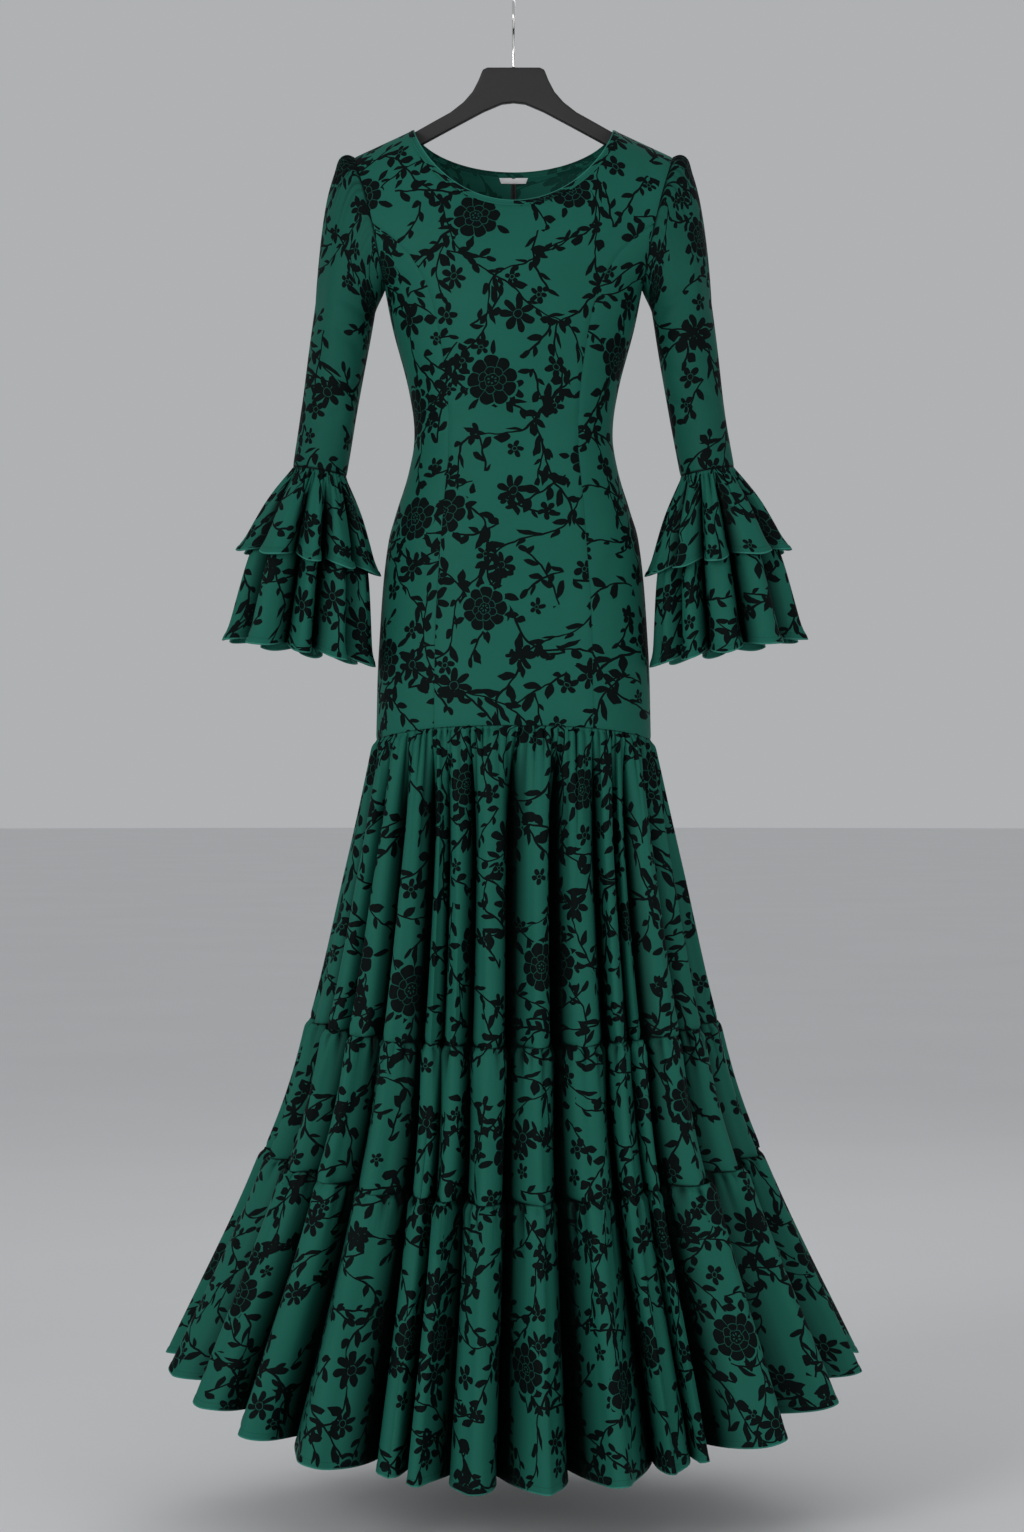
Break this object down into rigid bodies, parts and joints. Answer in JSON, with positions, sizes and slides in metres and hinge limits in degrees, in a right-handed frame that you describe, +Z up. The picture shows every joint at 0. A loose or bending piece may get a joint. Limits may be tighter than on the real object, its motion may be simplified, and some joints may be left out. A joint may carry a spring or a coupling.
{
  "type": "flamenco dress on a hanger",
  "caption": "Long green floral flamenco dress with flounced sleeves and a tiered, gathered skirt, hanging open on a hanger with a wire hook.",
  "frame": {"origin": "the inside of the crown of the hanger's hook, where it rests on a rod", "axes": "+Z up, -Y is the dress's front, +X is the viewer's right when facing the front"},
  "size_m": [0.7622, 0.5733, 1.5795],
  "materials": {
    "printed_crepe": "emerald crepe with a soft satin sheen and a black floral print",
    "white_label": "blank woven satin label",
    "dark_zip": "concealed nylon zip",
    "charcoal_hanger": "soft matt charcoal",
    "steel_wire": "polished plated wire"
  },
  "bodies": {
    "root": {"bodice_front": "printed_crepe", "bodice_side_left": "printed_crepe", "bodice_side_right": "printed_crepe", "bodice_back_left": "printed_crepe", "bodice_back_right": "printed_crepe", "neck_band": "printed_crepe", "sleeve_left": "printed_crepe", "sleeve_right": "printed_crepe", "flounce_upper_left": "printed_crepe", "flounce_upper_right": "printed_crepe", "flounce_lower_left": "printed_crepe", "flounce_lower_right": "printed_crepe", "skirt_tier_1": "printed_crepe", "skirt_tier_2": "printed_crepe", "skirt_tier_3": "printed_crepe", "label": "white_label", "zip_strip": "dark_zip", "hanger": "charcoal_hanger", "hook": "steel_wire"}
  },
  "joints": []
}
